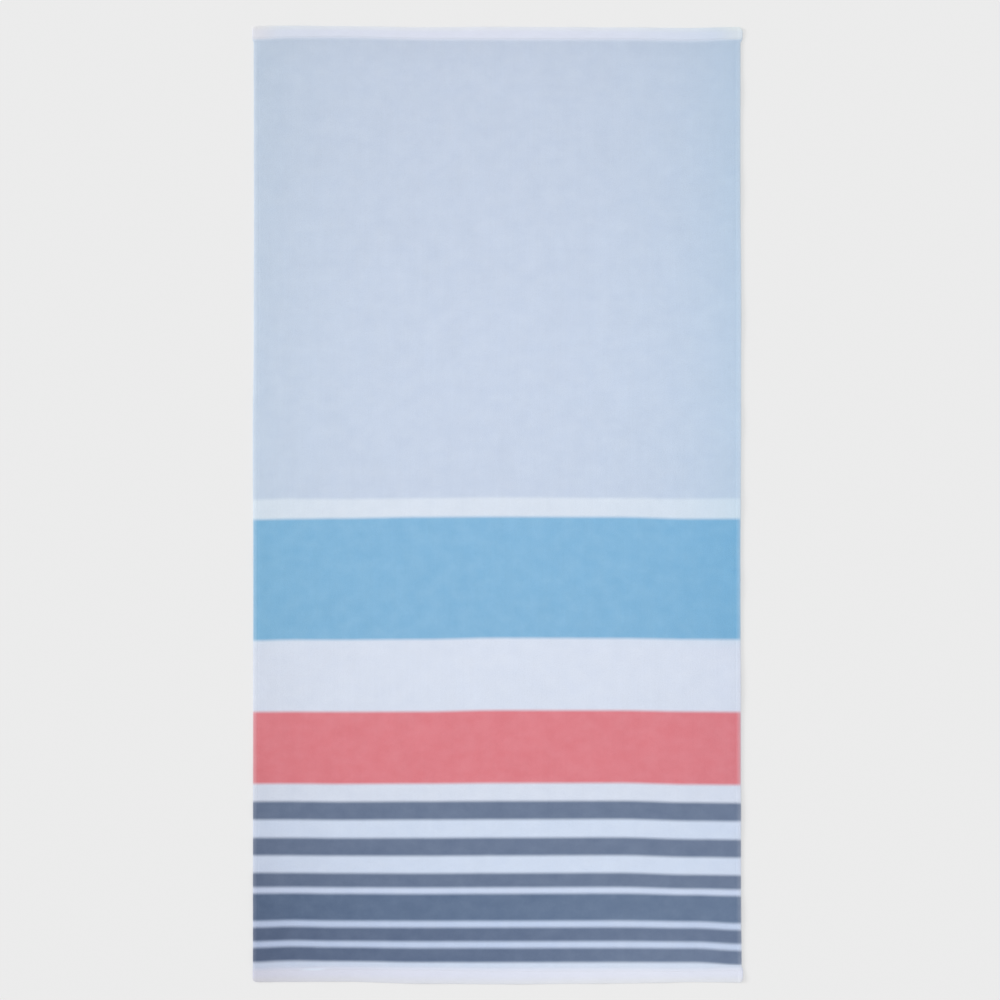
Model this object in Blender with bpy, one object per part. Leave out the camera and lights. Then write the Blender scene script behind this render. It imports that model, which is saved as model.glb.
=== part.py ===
"""A striped beach towel, spread out flat and face up. Metres, +Z up.

The width runs along X and the length along Y, with the plain blue field towards +Y. The towel rests on
the plane Z = 0, and the origin is the middle of its outline there. It is one cut length of pile cloth:
its long edges are turned under in narrow hems, and its ends are flat-woven headings, turned under in
deeper hems. Every edge is a round fold, and a stitch groove runs beside each hem's inner edge.
"""
import math

import bmesh
import bpy

# Driving dimensions
WIDTH = 0.914               # from one side fold to the other
PILE = 0.0030               # thickness of the pile cloth
UNEVENNESS = 0.07           # how far the pile swells or sinks, as a share of its thickness
BASE_INSET = 0.0008         # how far a fold curls in to the flat underside
CORNER_BULK = 0.24          # extra thickness where an end hem folds over a side hem, as a share
SIDE_BULK_END = 0.010       # inset at which the corner bulk has faded, across the width
END_BULK_END = 0.024        # inset at which the corner bulk has faded, along the length
FIELD_COLUMN = 0.042        # widest column of faces between the side hems
FIELD_ROW = 0.050           # longest row of faces between two stripes

# The bands of the cloth from the top end to the bottom end: finish, depth along the length
BANDS = [
    ("heading", 0.0235),
    ("light_blue", 0.8595),
    ("white", 0.0380),
    ("sky_blue", 0.2265),
    ("white", 0.1355),
    ("coral", 0.1355),
    ("white", 0.0340),
    ("slate", 0.0340),
    ("white", 0.0345),
    ("slate", 0.0330),
    ("white", 0.0330),
    ("slate", 0.0270),
    ("white", 0.0105),
    ("slate", 0.0520),
    ("white", 0.0115),
    ("slate", 0.0270),
    ("white", 0.0120),
    ("slate", 0.0270),
    ("white", 0.0155),
    ("heading", 0.0240),
]
LENGTH = sum(depth for _, depth in BANDS)

# Colours of the finishes: linear red, green, blue
FINISHES = {
    "light_blue": (0.558, 0.631, 0.768),
    "white": (0.693, 0.753, 0.871),
    "sky_blue": (0.246, 0.479, 0.708),
    "coral": (0.730, 0.223, 0.258),
    "slate": (0.136, 0.184, 0.283),
    "heading": (0.730, 0.761, 0.880),
}
CLOTH_ROUGHNESS = 0.95

# Section through a side hem: inset from the fold, thickness as a share of the pile
SIDE_SECTION = [
    (0.0000, 0.50),         # the outermost line of the fold
    (0.0005, 0.80),
    (0.0016, 1.03),
    (0.0050, 1.10),         # crown of the turned edge
    (0.0080, 1.00),
    (0.0090, 0.84),         # stitch groove
    (0.0102, 0.94),
    (0.0130, 1.00),
]
# Section through an end hem: inset from the fold, thickness as a share of the pile
END_SECTION = [
    (0.0000, 0.42),         # the outermost line of the fold
    (0.0005, 0.64),
    (0.0016, 0.80),
    (0.0120, 0.84),         # three layers of flat-woven heading
    (0.0205, 0.81),
    (0.0215, 0.68),         # stitch groove
    (0.0226, 0.78),
    (0.0236, 0.83),
    (0.0246, 0.97),         # the pile begins
    (0.0280, 1.00),
]

# How far each side edge strays outwards from a true rectangle: share of the way up it, distance out
LEFT_EDGE = [
    (0.00, 0.0009),
    (0.25, 0.0008),
    (0.44, 0.0000),
    (0.58, 0.0010),
    (0.67, -0.0008),
    (0.80, -0.0013),
    (1.00, -0.0006),
]
RIGHT_EDGE = [
    (0.00, 0.0000),
    (0.25, 0.0002),
    (0.43, -0.0007),
    (0.60, 0.0007),
    (0.72, 0.0009),
    (0.84, -0.0006),
    (1.00, -0.0004),
]
# How the weft lines bow as the cloth lies, from the bottom edge to the top edge: height of the line up
# the cloth, then how far above its true place it lies at each of these shares of the width
WEFT_SHARES = (0.00, 0.08, 0.17, 0.35, 0.50, 0.75, 0.90, 1.00)
WEFT_LINES = [
    (0.0000, (0.0020, 0.0020, 0.0028, -0.0013, -0.0023, -0.0010, 0.0017, 0.0008)),
    (0.0395, (0.0004, 0.0028, 0.0018, 0.0000, -0.0004, -0.0002, -0.0006, -0.0044)),
    (0.2070, (0.0014, 0.0012, 0.0006, 0.0000, 0.0006, 0.0012, -0.0023, -0.0033)),
    (0.3080, (0.0005, 0.0006, -0.0002, 0.0005, 0.0010, 0.0016, -0.0017, -0.0026)),
    (0.5110, (-0.0010, -0.0006, -0.0009, -0.0005, 0.0020, 0.0017, -0.0005, -0.0011)),
    (0.6470, (-0.0026, -0.0010, -0.0009, 0.0000, 0.0024, 0.0017, -0.0002, -0.0005)),
    (0.8740, (-0.0030, -0.0016, -0.0006, 0.0018, 0.0024, 0.0018, -0.0016, -0.0014)),
    (1.7700, (0.0006, 0.0030, 0.0034, 0.0020, 0.0008, 0.0006, -0.0012, 0.0020)),
    (1.7935, (0.0024, 0.0026, 0.0018, -0.0003, 0.0005, -0.0006, -0.0016, 0.0002)),
]

# The corners, where the wider heading sticks out past the drawn-in side: distance out, corner radius
CORNERS = {
    ("left", "top"): (0.0036, 0.0060),
    ("right", "top"): (0.0040, 0.0090),
    ("left", "bottom"): (0.0004, 0.0070),
    ("right", "bottom"): (0.0044, 0.0075),
}
FLARE_FULL = 0.021          # depth from the end over which the heading stands fully out
FLARE_FADED = 0.031         # depth from the end by which the side is straight again


def smooth_step(t):
    """Ease from 0 to 1 as t goes from 0 to 1."""
    t = min(max(t, 0.0), 1.0)
    return t * t * (3.0 - 2.0 * t)


def read_section(rows, inset):
    """Straight run between a section's rows."""
    for (near, low), (far, high) in zip(rows, rows[1:]):
        if inset <= far:
            return low + (high - low) * (inset - near) / (far - near)
    return rows[-1][1]


def read_edge(rows, share):
    """Smooth run between an edge's rows."""
    for (near, low), (far, high) in zip(rows, rows[1:]):
        if share <= far:
            return low + (high - low) * smooth_step((share - near) / (far - near))
    return rows[-1][1]


def weft_bow(across, v):
    """How far above its true place the cloth lies, at a share of the width and a height up the cloth."""
    heights = [(height, read_edge(list(zip(WEFT_SHARES, shifts)), across)) for height, shifts in WEFT_LINES]
    return read_edge(heights, v)


def insets(u, v):
    """Distance in from the nearest side and the nearest end, and the names of both."""
    side = "left" if u < WIDTH / 2 else "right"
    end = "bottom" if v < LENGTH / 2 else "top"
    return min(u, WIDTH - u), min(v, LENGTH - v), side, end


def round_corner(from_side, from_end, radius):
    """Pull a point near a square corner in, so that the corner becomes a quarter circle."""
    if from_side >= radius or from_end >= radius:
        return 0.0, 0.0
    across = 1.0 - from_side / radius
    along = 1.0 - from_end / radius
    pulled_across = across * math.sqrt(1.0 - along * along / 2.0)
    pulled_along = along * math.sqrt(1.0 - across * across / 2.0)
    return (across - pulled_across) * radius, (along - pulled_along) * radius


def outline_point(u, v):
    """Place on the surface of a point of the cloth, u across from the left and v up from the bottom."""
    from_side, from_end, side, end = insets(u, v)
    stand_out, radius = CORNERS[side, end]
    across, along = u / WIDTH, v / LENGTH
    flare = stand_out * smooth_step((FLARE_FADED - from_end) / (FLARE_FADED - FLARE_FULL))
    left = read_edge(LEFT_EDGE, along) + (flare if side == "left" else 0.0)
    right = read_edge(RIGHT_EDGE, along) + (flare if side == "right" else 0.0)
    in_x, in_y = round_corner(from_side, from_end, radius)
    x = u - WIDTH / 2 - left * (1.0 - across) + right * across
    y = v - LENGTH / 2 + weft_bow(across, v)
    x += in_x if side == "left" else -in_x
    y += in_y if end == "bottom" else -in_y
    return x, y


def swell(u, v):
    """Gentle rise and fall of the pile over the field, from -1 to 1."""
    broad = math.sin(5.1 * u + 1.7 * v + 0.6) * math.cos(2.9 * v - 2.2 * u)
    narrow = math.sin(13.0 * u - 6.1 * v + 1.1) * math.cos(8.3 * v + 4.7 * u)
    return 0.65 * broad + 0.35 * narrow


def thickness(u, v):
    """Height of the cloth's upper face above the plane it lies on."""
    from_side, from_end, _, _ = insets(u, v)
    share = read_section(SIDE_SECTION, from_side) * read_section(END_SECTION, from_end)
    in_side_hem = smooth_step(1.0 - from_side / SIDE_BULK_END)
    in_end_hem = smooth_step(1.0 - from_end / END_BULK_END)
    share *= 1.0 + CORNER_BULK * math.sqrt(in_side_hem * in_end_hem)
    return PILE * share * (1.0 + UNEVENNESS * swell(u, v))


def evenly(start, stop, longest):
    """Stations after start, up to and including stop, no further apart than longest."""
    count = math.ceil((stop - start) / longest)
    return [start + (stop - start) * k / count for k in range(1, count + 1)]


def column_stations():
    """Distances across the width at which the columns of faces meet."""
    hem = [inset for inset, _ in SIDE_SECTION]
    far_hem = [WIDTH - inset for inset in reversed(hem)]
    return hem + evenly(hem[-1], far_hem[0], FIELD_COLUMN) + far_hem[1:]


def row_stations():
    """Distances up the length at which the rows meet, and the finish of the row above each one."""
    hem = [inset for inset, _ in END_SECTION]
    far_hem = [LENGTH - inset for inset in reversed(hem)]
    seams = [0.0]
    for _, depth in reversed(BANDS):
        seams.append(seams[-1] + depth)
    inner_seams = [seam for seam in seams if hem[-1] < seam < far_hem[0]]
    stations = list(hem)
    for seam in inner_seams + [far_hem[0]]:
        stations += evenly(stations[-1], seam, FIELD_ROW)
    stations += far_hem[1:]
    finishes = []
    for low, high in zip(stations, stations[1:]):
        middle = (low + high) / 2
        band = max(k for k, seam in enumerate(seams[:-1]) if seam <= middle)
        finishes.append(BANDS[len(BANDS) - 1 - band][0])
    return stations, finishes


def rim_order(columns, rows):
    """Grid places round the edge, anticlockwise from the bottom left, as seen from above."""
    last_column, last_row = len(columns) - 1, len(rows) - 1
    rim = [(i, 0) for i in range(last_column)]
    rim += [(last_column, j) for j in range(last_row)]
    rim += [(i, last_row) for i in range(last_column, 0, -1)]
    rim += [(0, j) for j in range(last_row, 0, -1)]
    return rim


def towel_solid():
    """One closed body: the upper face as a grid, the folds as a rim, the underside as one flat face."""
    columns = column_stations()
    rows, finishes = row_stations()
    outline = [outline_point(columns[i], rows[j]) for i, j in rim_order(columns, rows)]
    middle_x = (min(x for x, _ in outline) + max(x for x, _ in outline)) / 2
    middle_y = (min(y for _, y in outline) + max(y for _, y in outline)) / 2
    names = list(FINISHES)
    bm = bmesh.new()
    grid = []
    for v in rows:
        grid.append([])
        for u in columns:
            x, y = outline_point(u, v)
            grid[-1].append(bm.verts.new((x - middle_x, y - middle_y, thickness(u, v))))
    for j, finish in enumerate(finishes):
        for i in range(len(columns) - 1):
            corners = (grid[j][i], grid[j][i + 1], grid[j + 1][i + 1], grid[j + 1][i])
            bm.faces.new(corners).material_index = names.index(finish)
    base = []
    for i, j in rim_order(columns, rows):
        u = min(max(columns[i], BASE_INSET), WIDTH - BASE_INSET)
        v = min(max(rows[j], BASE_INSET), LENGTH - BASE_INSET)
        x, y = outline_point(u, v)
        base.append(bm.verts.new((x - middle_x, y - middle_y, 0.0)))
    rim = [grid[j][i] for i, j in rim_order(columns, rows)]
    for k, low in enumerate(base):
        after = (k + 1) % len(base)
        bm.faces.new((low, base[after], rim[after], rim[k])).material_index = names.index("white")
    bm.faces.new(list(reversed(base))).material_index = names.index("white")
    mesh = bpy.data.meshes.new("towel")
    bm.to_mesh(mesh)
    bm.free()
    return mesh


def cloth_finish(name, colour):
    """Matt cotton in one colour."""
    material = bpy.data.materials.new(name)
    material.use_nodes = True
    shader = material.node_tree.nodes["Principled BSDF"]
    shader.inputs["Base Color"].default_value = (*colour, 1.0)
    shader.inputs["Roughness"].default_value = CLOTH_ROUGHNESS
    shader.inputs["Metallic"].default_value = 0.0
    material.diffuse_color = (*colour, 1.0)
    return material


def main():
    for old in list(bpy.data.objects):
        bpy.data.objects.remove(old, do_unlink=True)
    mesh = towel_solid()
    for name, colour in FINISHES.items():
        mesh.materials.append(cloth_finish(name, colour))
    mesh.shade_smooth()
    mesh.set_sharp_from_angle(angle=math.radians(50))
    towel = bpy.data.objects.new("towel", mesh)
    bpy.context.scene.collection.objects.link(towel)


main()
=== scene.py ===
# %% [markdown]
# # A striped beach towel, spread out flat
#
# This lesson makes one beach towel on a pale floor, seen from straight above. A plain CAD model gives
# its place, outline and thickness. Here it gets what makes it a towel: folded hems, a sheared pile,
# woven ends, a print, stitches and light. Sizes are in metres, +Z is up, and the towel lies on Z = 0.

# %% Load the CAD frame
import math
from functools import lru_cache

import bpy
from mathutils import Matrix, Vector, noise


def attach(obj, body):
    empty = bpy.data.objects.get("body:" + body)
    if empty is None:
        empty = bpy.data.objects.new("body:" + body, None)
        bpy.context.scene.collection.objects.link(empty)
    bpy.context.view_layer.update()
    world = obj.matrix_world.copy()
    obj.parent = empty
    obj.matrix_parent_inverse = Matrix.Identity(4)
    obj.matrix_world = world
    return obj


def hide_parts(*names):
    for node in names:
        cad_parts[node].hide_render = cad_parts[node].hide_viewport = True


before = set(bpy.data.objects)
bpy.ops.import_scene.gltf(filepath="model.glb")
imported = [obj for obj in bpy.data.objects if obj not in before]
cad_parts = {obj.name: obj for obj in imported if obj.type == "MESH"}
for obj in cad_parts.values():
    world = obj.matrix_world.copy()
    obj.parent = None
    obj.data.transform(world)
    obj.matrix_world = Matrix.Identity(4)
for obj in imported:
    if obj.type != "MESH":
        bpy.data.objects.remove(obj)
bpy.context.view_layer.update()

print("CAD nodes:", sorted(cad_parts))

# %% [markdown]
# ## The cut of the cloth
#
# A mill weaves beach towels as one long web: a pile field, then a strip without pile, called the
# heading, then the next towel. The web is printed, cut through the headings and hemmed. So the towel is
# written down by its bands, from one end to the other, with a dye for each.
#
# Two cloth coordinates are used throughout: `u` runs across from the left fold, and `v` runs up from
# the bottom fold. A stripe is straight in `u` and `v` even where the cloth lies askew.

# %% Width, thickness, bands and dyes
WIDTH = 0.914  # from one side fold to the other
PILE = 0.0030  # thickness of the pile cloth
BANDS = [  # from the top end to the bottom end: finish, depth along the length
    ("heading", 0.0235), ("light_blue", 0.8608), ("soft_white", 0.0370), ("sky_blue", 0.2272),
    ("white", 0.1353), ("coral", 0.1359), ("white", 0.0334), ("pale_slate", 0.0345),
    ("cool_white", 0.0340), ("pale_slate", 0.0336), ("cool_white", 0.0326), ("pale_slate", 0.0269),
    ("thin_white", 0.0116), ("blue_slate", 0.0510), ("faint_white", 0.0121), ("slate", 0.0262),
    ("faint_white", 0.0119), ("slate", 0.0270), ("cool_white", 0.0120), ("heading", 0.0270),
]
LENGTH = sum(depth for _, depth in BANDS)
DYES = {  # linear red, green, blue
    "light_blue": (0.558, 0.631, 0.768), "white": (0.690, 0.748, 0.867),
    "soft_white": (0.677, 0.738, 0.836), "cool_white": (0.645, 0.731, 0.885),
    "thin_white": (0.605, 0.695, 0.880), "faint_white": (0.550, 0.650, 0.846),
    "sky_blue": (0.234, 0.466, 0.691), "coral": (0.732, 0.223, 0.257),
    "pale_slate": (0.155, 0.204, 0.307), "blue_slate": (0.132, 0.189, 0.298),
    "slate": (0.131, 0.178, 0.280), "heading": (0.730, 0.761, 0.880),
}
print(f"Towel: {WIDTH:.3f} by {LENGTH:.4f} m, {len(BANDS)} bands")

# %% [markdown]
# ## How the cloth lies
#
# Nobody spreads a towel out perfectly. Its sides wander by a millimetre or two, and its weft lines bow.
# The tables hold those strayings at a few places, and an ease between the rows makes smooth curves.

# %% Straying of the edges and the weft lines
LEFT_EDGE = [  # share of the way up the side, how far out it strays
    (0.00, 0.0011), (0.25, 0.0009), (0.44, 0.0006), (0.58, 0.0015),
    (0.67, -0.0003), (0.80, -0.0008), (1.00, -0.0003),
]
RIGHT_EDGE = [
    (0.00, 0.0020), (0.03, 0.0018), (0.08, 0.0007), (0.25, 0.0006), (0.43, -0.0004),
    (0.60, 0.0007), (0.72, 0.0009), (0.84, -0.0006), (1.00, -0.0004),
]
WEFT_SHARES = (0.00, 0.08, 0.17, 0.35, 0.50, 0.75, 0.90, 1.00)
WEFT_LINES = [  # height up the cloth, how far the line lies above that at each share
    (0.0000, (0.0020, 0.0020, 0.0028, -0.0013, -0.0023, -0.0010, 0.0017, 0.0008)),
    (0.0270, (-0.0007, 0.0016, 0.0032, 0.0021, 0.0005, 0.0004, -0.0002, 0.0018)),
    (0.0395, (0.0004, 0.0030, 0.0018, -0.0002, -0.0004, -0.0002, -0.0004, -0.0053)),
    (0.1050, (0.0002, 0.0019, 0.0006, 0.0002, 0.0003, 0.0008, -0.0008, -0.0044)),
    (0.2070, (0.0014, 0.0012, 0.0006, 0.0000, 0.0006, 0.0012, -0.0023, -0.0033)),
    (0.3080, (0.0005, 0.0006, -0.0002, 0.0005, 0.0010, 0.0016, -0.0017, -0.0026)),
    (0.5110, (-0.0010, -0.0006, -0.0009, -0.0005, 0.0020, 0.0017, -0.0005, -0.0011)),
    (0.6470, (-0.0026, -0.0010, -0.0013, -0.0002, 0.0024, 0.0017, -0.0002, -0.0005)),
    (0.8740, (-0.0030, -0.0016, -0.0006, 0.0018, 0.0024, 0.0018, -0.0016, -0.0014)),
    (0.9092, (-0.0030, -0.0004, -0.0014, 0.0003, 0.0019, 0.0005, -0.0007, -0.0001)),
    (1.7700, (0.0002, 0.0029, 0.0034, 0.0000, -0.0005, -0.0006, -0.0028, 0.0002)),
    (1.7935, (0.0024, 0.0026, 0.0018, -0.0003, 0.0005, -0.0006, -0.0016, 0.0002)),
]


def smooth_step(t):
    """Ease from 0 to 1 as t goes from 0 to 1."""
    t = min(max(t, 0.0), 1.0)
    return t * t * (3.0 - 2.0 * t)


def read_rows(rows, place):
    """Smooth run between a table's rows."""
    if place <= rows[0][0]:
        return rows[0][1]
    for (near, low), (far, high) in zip(rows, rows[1:]):
        if place <= far:
            return low + (high - low) * smooth_step((place - near) / (far - near))
    return rows[-1][1]


@lru_cache(maxsize=None)
def weft_column(across):
    """The straying of every weft line at one share of the width."""
    return [(height, read_rows(list(zip(WEFT_SHARES, shifts)), across)) for height, shifts in WEFT_LINES]


print("Weft lines stray by up to", max(abs(x) for _, row in WEFT_LINES for x in row) * 1000, "mm")

# %% [markdown]
# ## From cloth to floor
#
# `outline_point` says where a point of the cloth comes to lie. It adds the straying, lets the firm
# headings flare out, and rounds the corners, because thick folded cloth can't make a sharp one.

# %% Where a point of the cloth lies
CORNERS = {  # how far the heading stands out, radius of the corner
    ("left", "top"): (0.0025, 0.0060),
    ("right", "top"): (0.0040, 0.0090),
    ("left", "bottom"): (0.0004, 0.0070),
    ("right", "bottom"): (0.0024, 0.0075),
}
FLARE_FULL = 0.021  # depth from the end over which the heading stands fully out
FLARE_FADED = 0.031  # depth from the end by which the side is straight again


def insets(u, v):
    """Distance in from the nearest side and the nearest end, and the names of both."""
    side = "left" if u < WIDTH / 2 else "right"
    end = "bottom" if v < LENGTH / 2 else "top"
    return min(u, WIDTH - u), min(v, LENGTH - v), side, end


def round_corner(from_side, from_end, radius):
    """Pull a point near a square corner in, so that the corner becomes a quarter circle."""
    if from_side >= radius or from_end >= radius:
        return 0.0, 0.0
    across = 1.0 - from_side / radius
    along = 1.0 - from_end / radius
    pulled_across = across * math.sqrt(1.0 - along * along / 2.0)
    pulled_along = along * math.sqrt(1.0 - across * across / 2.0)
    return (across - pulled_across) * radius, (along - pulled_along) * radius


def outline_point(u, v):
    """Place of a point of the cloth, measured from the middle of a true rectangle."""
    from_side, from_end, side, end = insets(u, v)
    stand_out, radius = CORNERS[side, end]
    across, along = u / WIDTH, v / LENGTH
    flare = stand_out * smooth_step((FLARE_FADED - from_end) / (FLARE_FADED - FLARE_FULL))
    left = read_rows(LEFT_EDGE, along) + (flare if side == "left" else 0.0)
    right = read_rows(RIGHT_EDGE, along) + (flare if side == "right" else 0.0)
    in_x, in_y = round_corner(from_side, from_end, radius)
    x = u - WIDTH / 2 - left * (1.0 - across) + right * across
    y = v - LENGTH / 2 + read_rows(weft_column(across), v)
    x += in_x if side == "left" else -in_x
    y += in_y if end == "bottom" else -in_y
    return x, y


print("Bottom left corner, m:", [round(part, 4) for part in outline_point(0.0, 0.0)])

# %% [markdown]
# ## Hems in section
#
# Every edge is turned under and sewn. In section a side hem is a round fold, a low ridge, then the
# groove that the thread pulls. An end hem is deeper and thinner, since the heading has no pile, which
# rises past the stitches. The rows give the thickness as a share of the pile, and the fold is a half
# circle.

# %% Thickness of the cloth
FOLD_RADIUS = 0.0016  # how far in from the edge a fold stays round
SIDE_SECTION = [  # inset from the side fold, thickness as a share of the pile
    (0.0016, 1.03), (0.0050, 1.07), (0.0080, 1.02), (0.0090, 0.96), (0.0102, 0.98), (0.0130, 1.00),
]
END_SECTION = [  # inset from the end fold, thickness of the heading as a share of the pile
    (0.0016, 0.80), (0.0120, 0.84), (0.0200, 0.83), (0.0215, 0.77), (0.0230, 0.83),
]
HEADING = {"top": 0.0237, "bottom": 0.0270}  # depth of the flat-woven ends
PILE_RISE = 0.0045  # length over which the pile rises past the heading
RISE_BEGUN = 0.2  # share of that rise's length that lies before the heading's edge
UNEVENNESS = 0.07  # how far the pile swells or sinks, as a share of its thickness
SWELLS = [  # share; the sine's turn across, turn along and start; the cosine's turns
    (0.65, (5.1, 1.7, 0.6), (-2.2, 2.9)),
    (0.35, (13.0, -6.1, 1.1), (4.7, 8.3)),
]
CORNER_BULK = 0.24  # extra thickness where an end hem folds over a side hem, as a share
SIDE_BULK_END = 0.010  # inset at which the corner bulk has faded, across the width
END_BULK_END = 0.024  # inset at which the corner bulk has faded, along the length


def swell(u, v):
    """Gentle rise and fall of the pile over the field, from -1 to 1."""
    total = 0.0
    for share, (sine_u, sine_v, start), (cosine_u, cosine_v) in SWELLS:
        wave = math.sin(sine_u * u + sine_v * v + start) * math.cos(cosine_u * u + cosine_v * v)
        total += share * wave
    return total


def fold_roundness(inset):
    """Rise of a half circle, from 0 at the fold to 1 at its radius."""
    away = 1.0 - min(inset / FOLD_RADIUS, 1.0)
    return math.sqrt(1.0 - away * away)


def thickness(u, v):
    """Thickness of the cloth before its edges are rounded."""
    from_side, from_end, _, end = insets(u, v)
    flat_woven = read_rows(END_SECTION, from_end)
    risen = smooth_step((from_end - HEADING[end]) / PILE_RISE + RISE_BEGUN)
    share = read_rows(SIDE_SECTION, from_side) * (flat_woven + (1.0 - flat_woven) * risen)
    in_side_hem = smooth_step(1.0 - from_side / SIDE_BULK_END)
    in_end_hem = smooth_step(1.0 - from_end / END_BULK_END)
    share *= 1.0 + CORNER_BULK * math.sqrt(in_side_hem * in_end_hem)
    return PILE * share * (1.0 + UNEVENNESS * swell(u, v))


print("Thickness at the middle, mm:", round(1000 * thickness(WIDTH / 2, LENGTH / 2), 2))

# %% [markdown]
# ## Dents, crests and lifting edges
#
# Pile that was folded and stacked is never level. A little smooth noise dents the face by a tenth of a
# millimetre. The edges also lift here and there by less than a millimetre, as a tight hem does.

# %% Relief of the face and lift of the edges
DENTS = [  # height, size across, size along, slice of the noise
    (0.00016, 0.070, 0.085, 3.1),
    (0.00009, 0.027, 0.033, 8.4),
]
HEM_WIDTH, HEM_DEPTH = 0.010, 0.026  # side and end hems, which have no dents
DENT_EASE = 0.02  # how far in from the hems the dents are full
EDGE_LIFT = 0.0008  # the most that an edge lifts
LIFT_REACH = 0.040  # how far in from an edge the cloth has come down again
LIFT_WAVES = {  # turn along the edge, size and turn of its sway, start
    "left": (34.0, 1.3, 7.0, 0.4),
    "right": (34.0, 1.3, 7.0, 2.3),
    "bottom": (41.0, 1.1, 9.0, 0.9),
    "top": (41.0, 1.1, 9.0, 3.0),
}
UNDER_GROOVE = 0.0005  # depth of the stitch groove in the underside
GROOVE_WIDTH = 0.0006
SIDE_ROW = 0.0090  # inset of a side hem's row of stitches
END_ROW = 0.0215  # inset of an end hem's row of stitches


def pile_relief(u, v):
    """Height of the dents and crests in the pile, none on the hems."""
    from_side, from_end, _, _ = insets(u, v)
    inside = smooth_step((from_side - HEM_WIDTH) / DENT_EASE)
    inside *= smooth_step((from_end - HEM_DEPTH) / DENT_EASE)
    return inside * sum(height * noise.noise(Vector((u / wide, v / long, part)))
                        for height, wide, long, part in DENTS)


def lift_wave(place, edge):
    """How much of its lift an edge has at a place along it, from 0 to 1."""
    turn, sway, sway_turn, start = LIFT_WAVES[edge]
    return max(0.0, math.sin(turn * place + sway * math.sin(sway_turn * place) + start))


def edge_lift(u, v):
    """How far the cloth lifts off the floor."""
    from_side, from_end, side, end = insets(u, v)
    near_side = smooth_step(1.0 - from_side / LIFT_REACH)
    near_end = smooth_step(1.0 - from_end / LIFT_REACH)
    return EDGE_LIFT * max(near_side * lift_wave(v, side), near_end * lift_wave(u, end))


def under_groove(u, v):
    """How far the stitches draw the underside up."""
    from_side, from_end, _, _ = insets(u, v)
    side_groove = math.exp(-(((from_side - SIDE_ROW) / GROOVE_WIDTH) ** 2))
    end_groove = math.exp(-(((from_end - END_ROW) / GROOVE_WIDTH) ** 2))
    return UNDER_GROOVE * max(side_groove * (from_end > END_ROW), end_groove)


def cloth_heights(u, v):
    """Height of the underside and of the face above the floor."""
    from_side, from_end, _, _ = insets(u, v)
    full = thickness(u, v)
    roundness = fold_roundness(from_side) * fold_roundness(from_end)
    lift = edge_lift(u, v)
    low = lift + full * (0.5 - 0.5 * roundness) + under_groove(u, v) * roundness
    high = lift + full * (0.5 + 0.5 * roundness) + pile_relief(u, v)
    return low, high


print("Face at the middle, mm:", round(1000 * cloth_heights(WIDTH / 2, LENGTH / 2)[1], 2))

# %% [markdown]
# ## Rows and columns of faces
#
# The face and the underside are two grids that share one outline, like a very flat pillowcase. A plain
# field needs few faces, and a fold or a groove half a millimetre wide needs many, so the stations stand
# close together near the edges and about 7 to 9 mm apart over the field.

# %% Stations across and along
FOLD_STEPS = [FOLD_RADIUS * share for share in (0.0, 0.05, 0.18, 0.38, 0.65, 1.0)]
SIDE_STATIONS = FOLD_STEPS + [
    0.0024, 0.0036, 0.0050, 0.0066, 0.0078, 0.0084, 0.0087, 0.0090,
    0.0093, 0.0097, 0.0102, 0.0112, 0.0130,
]
END_STATIONS = FOLD_STEPS + [
    0.0024, 0.0050, 0.0090, 0.0130, 0.0170, 0.0198, 0.0207, 0.0212, 0.0215, 0.0218,
    0.0223, 0.0230, 0.0237, 0.0245, 0.0254, 0.0262, 0.0270, 0.0279, 0.0290, 0.0306,
]
FIELD_COLUMN, FIELD_ROW = 0.0066, 0.0088


def stations(near_edge, total, longest):
    """Distances at which rows or columns meet, fine near both edges and even between."""
    start, stop = near_edge[-1], total - near_edge[-1]
    count = math.ceil((stop - start) / longest)
    middle = [start + (stop - start) * k / count for k in range(1, count)]
    return near_edge + middle + [total - inset for inset in reversed(near_edge)]


COLUMNS = stations(SIDE_STATIONS, WIDTH, FIELD_COLUMN)
ROWS = stations(END_STATIONS, LENGTH, FIELD_ROW)
print(f"Grid: {len(COLUMNS)} columns by {len(ROWS)} rows")

# %% [markdown]
# ## The towel as one closed sheet
#
# A Solidify modifier would give one thickness, but a hem is uneven and its fold is round. So both faces
# are written out vertex by vertex. They share their outermost ring, which closes the sheet. The
# outline's middle is put at the origin, where the CAD model has it.

# %% Vertices and faces
SIDE_TURN = 0.0104  # width of the printed cloth that is turned under at a side
PRINTED_PILE, FLAT_WOVEN, LOOPS = 0, 1, 2  # finishes, in the order of the cloth's materials

rim = [outline_point(u, v) for v in ROWS for u in COLUMNS if min(insets(u, v)[:2]) == 0.0]
MIDDLE_X = (min(x for x, _ in rim) + max(x for x, _ in rim)) / 2
MIDDLE_Y = (min(y for _, y in rim) + max(y for _, y in rim)) / 2


def show(name, data):
    """Put an object into the scene."""
    made = bpy.data.objects.new(name, data)
    bpy.context.scene.collection.objects.link(made)
    return made


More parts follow.
